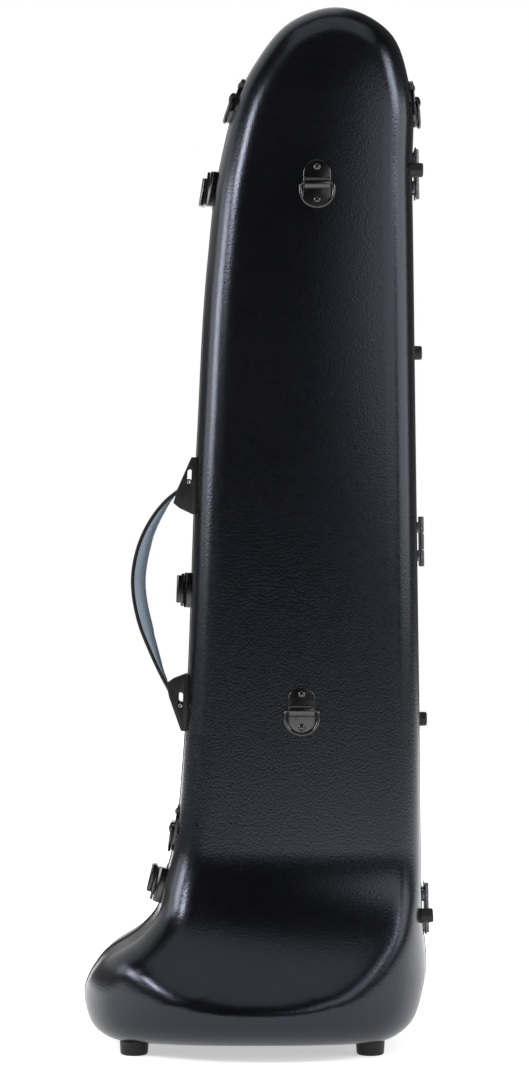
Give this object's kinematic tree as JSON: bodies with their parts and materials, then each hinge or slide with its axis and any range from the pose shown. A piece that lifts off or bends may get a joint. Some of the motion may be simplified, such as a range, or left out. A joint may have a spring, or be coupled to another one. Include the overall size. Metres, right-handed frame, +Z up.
{
  "type": "trombone case",
  "caption": "Hard moulded trombone case with a flared toe, hinged lid, toggle latches, strap handle and rings for carrying straps.",
  "frame": {"origin": "on the floor under the middle of the closed case, which stands on its toe", "axes": "+Z up to the narrow end, +X from the handle side to the hinge side, +Y from the back half to the lid half"},
  "size_m": [0.3202, 0.2688, 0.953],
  "materials": {
    "moulded_shell": "satin black moulded ABS with a fine grain",
    "black_rubber": "matt black rubber",
    "black_nylon": "satin black nylon",
    "grey_grip": "smooth blue-grey soft grip",
    "blackened_steel": "black satin coated steel",
    "nickel_steel": "bright nickel plate",
    "black_plush": "black plush over foam"
  },
  "bodies": {
    "back_half": {"back_bell_plug": "black_plush", "back_lining": "black_plush", "back_rim": "black_rubber", "back_shell": "moulded_shell", "back_throat_cradle": "black_plush", "back_tube_cradle_lower": "black_plush", "back_tube_cradle_upper": "black_plush", "base_foot_back_handle_side": "black_rubber", "base_foot_back_hinge_side": "black_rubber", "dee_plate_face_lower": "blackened_steel", "dee_plate_face_upper": "blackened_steel", "dee_plate_handle_side_lower": "blackened_steel", "dee_plate_handle_side_upper": "blackened_steel", "dee_plate_hinge_side": "blackened_steel", "handle_bracket_lower": "black_nylon", "handle_bracket_upper": "black_nylon", "hinge_leaf_back_bottom": "blackened_steel", "hinge_leaf_back_middle": "blackened_steel", "hinge_leaf_back_top": "blackened_steel", "hinge_pin_bottom": "nickel_steel", "hinge_pin_middle": "nickel_steel", "hinge_pin_top": "nickel_steel", "latch_keeper_bottom": "blackened_steel", "latch_keeper_middle": "blackened_steel", "latch_keeper_top": "blackened_steel", "mouthpiece_block": "black_plush", "rim_seal": "black_rubber", "side_foot_back_lower": "black_rubber", "side_foot_back_upper": "black_rubber"},
    "lid_half": {"base_foot_lid_handle_side": "black_rubber", "base_foot_lid_hinge_side": "black_rubber", "hinge_leaf_lid_bottom": "blackened_steel", "hinge_leaf_lid_middle": "blackened_steel", "hinge_leaf_lid_top": "blackened_steel", "latch_base_bottom": "blackened_steel", "latch_base_middle": "blackened_steel", "latch_base_top": "blackened_steel", "lid_bell_plug": "black_plush", "lid_lining": "black_plush", "lid_rim": "black_rubber", "lid_shell": "moulded_shell", "lid_slide_cradle_lower": "black_plush", "lid_slide_cradle_upper": "black_plush", "side_foot_lid_lower": "black_rubber", "side_foot_lid_upper": "black_rubber"},
    "latch_lever_top": {"latch_lever_top": "blackened_steel"},
    "latch_claw_top": {"latch_claw_top": "blackened_steel"},
    "latch_lever_middle": {"latch_lever_middle": "blackened_steel"},
    "latch_claw_middle": {"latch_claw_middle": "blackened_steel"},
    "latch_lever_bottom": {"latch_lever_bottom": "blackened_steel"},
    "latch_claw_bottom": {"latch_claw_bottom": "blackened_steel"},
    "dee_ring_face_upper": {"dee_ring_face_upper": "blackened_steel"},
    "dee_ring_face_lower": {"dee_ring_face_lower": "blackened_steel"},
    "dee_ring_handle_side_upper": {"dee_ring_handle_side_upper": "blackened_steel"},
    "dee_ring_handle_side_lower": {"dee_ring_handle_side_lower": "blackened_steel"},
    "dee_ring_hinge_side": {"dee_ring_hinge_side": "blackened_steel"},
    "handle": {"handle_strap": "black_nylon", "handle_grip": "grey_grip", "handle_pin_upper": "nickel_steel", "handle_pin_lower": "nickel_steel"}
  },
  "joints": [
    {"name": "lid_hinge", "type": "hinge", "parent": "back_half", "child": "lid_half", "pos_m": [0.15573, 0, 0.12509], "axis": [0.0135, 0, -0.9999], "range_deg": [0, 170]},
    {"name": "latch_lever_top_pivot", "type": "hinge", "parent": "lid_half", "child": "latch_lever_top", "pos_m": [-0.04396, 0.0095, 0.78725], "axis": [0.1556, 0, 0.9878], "range_deg": [0, 90]},
    {"name": "latch_claw_top_pivot", "type": "hinge", "parent": "latch_lever_top", "child": "latch_claw_top", "pos_m": [-0.04505, 0.018, 0.78742], "axis": [0.1556, 0, 0.9878], "range_deg": [-90, 0]},
    {"name": "latch_lever_middle_pivot", "type": "hinge", "parent": "lid_half", "child": "latch_lever_middle", "pos_m": [-0.06632, 0.0095, 0.41854], "axis": [0.0328, 0, 0.9995], "range_deg": [0, 90]},
    {"name": "latch_claw_middle_pivot", "type": "hinge", "parent": "latch_lever_middle", "child": "latch_claw_middle", "pos_m": [-0.06742, 0.018, 0.41857], "axis": [0.0328, 0, 0.9995], "range_deg": [-90, 0]},
    {"name": "latch_lever_bottom_pivot", "type": "hinge", "parent": "lid_half", "child": "latch_lever_bottom", "pos_m": [-0.09208, 0.0095, 0.14823], "axis": [0.2301, 0, 0.9732], "range_deg": [0, 90]},
    {"name": "latch_claw_bottom_pivot", "type": "hinge", "parent": "latch_lever_bottom", "child": "latch_claw_bottom", "pos_m": [-0.09315, 0.018, 0.14849], "axis": [0.2301, 0, 0.9732], "range_deg": [-90, 0]},
    {"name": "dee_ring_face_upper_swing", "type": "hinge", "parent": "back_half", "child": "dee_ring_face_upper", "pos_m": [0.05358, -0.06757, 0.78634], "axis": [-1, 0, 0], "range_deg": [0, 180]},
    {"name": "dee_ring_face_lower_swing", "type": "hinge", "parent": "back_half", "child": "dee_ring_face_lower", "pos_m": [0.03968, -0.07267, 0.31073], "axis": [-1, 0, 0], "range_deg": [0, 180]},
    {"name": "dee_ring_handle_side_upper_swing", "type": "hinge", "parent": "back_half", "child": "dee_ring_handle_side_upper", "pos_m": [-0.0233, -0.02, 0.86776], "axis": [0, 1, 0], "range_deg": [0, 180]},
    {"name": "dee_ring_handle_side_lower_swing", "type": "hinge", "parent": "back_half", "child": "dee_ring_handle_side_lower", "pos_m": [-0.07826, -0.02, 0.20161], "axis": [0, 1, 0], "range_deg": [0, 180]},
    {"name": "dee_ring_hinge_side_swing", "type": "hinge", "parent": "back_half", "child": "dee_ring_hinge_side", "pos_m": [0.14567, -0.02, 0.8641], "axis": [0, -1, 0], "range_deg": [0, 180]},
    {"name": "handle_lift", "type": "slide", "parent": "back_half", "child": "handle", "axis": [0.0384, 0, 0.9993], "range_m": [0, 0.01]}
  ],
  "couplings": [
    {"joint": "latch_claw_top_pivot", "follows": "latch_lever_top_pivot", "ratio": -1},
    {"joint": "latch_claw_middle_pivot", "follows": "latch_lever_middle_pivot", "ratio": -1},
    {"joint": "latch_claw_bottom_pivot", "follows": "latch_lever_bottom_pivot", "ratio": -1}
  ]
}
